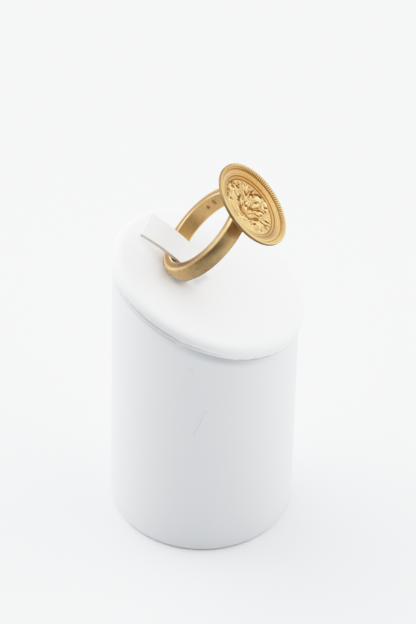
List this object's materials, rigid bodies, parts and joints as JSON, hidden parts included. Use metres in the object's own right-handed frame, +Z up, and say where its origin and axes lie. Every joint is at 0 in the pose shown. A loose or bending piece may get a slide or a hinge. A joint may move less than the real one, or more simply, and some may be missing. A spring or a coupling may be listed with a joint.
{
  "type": "signet ring on display stand",
  "caption": "Gilded ring with a plain band and a round dished plate with ridged rim and raised floral ornament, held by a strip on a slanted padded display stand.",
  "frame": {"origin": "centre of the stand's foot, on the surface that it stands on", "axes": "+Z up along the stand's axis; the slanted top falls towards -Y, and the ring's plate faces -Y and up"},
  "size_m": [0.0402, 0.0406, 0.0892],
  "materials": {
    "gilded_silver": "worn satin gilding",
    "white_body": "smooth white leatherette cover",
    "white_pad": "smooth white leatherette cushion",
    "white_strip": "smooth white plastic"
  },
  "bodies": {
    "root": {"signet_ring": "gilded_silver", "stand_body": "white_body", "stand_pad": "white_pad", "ring_strip": "white_strip"}
  },
  "joints": []
}
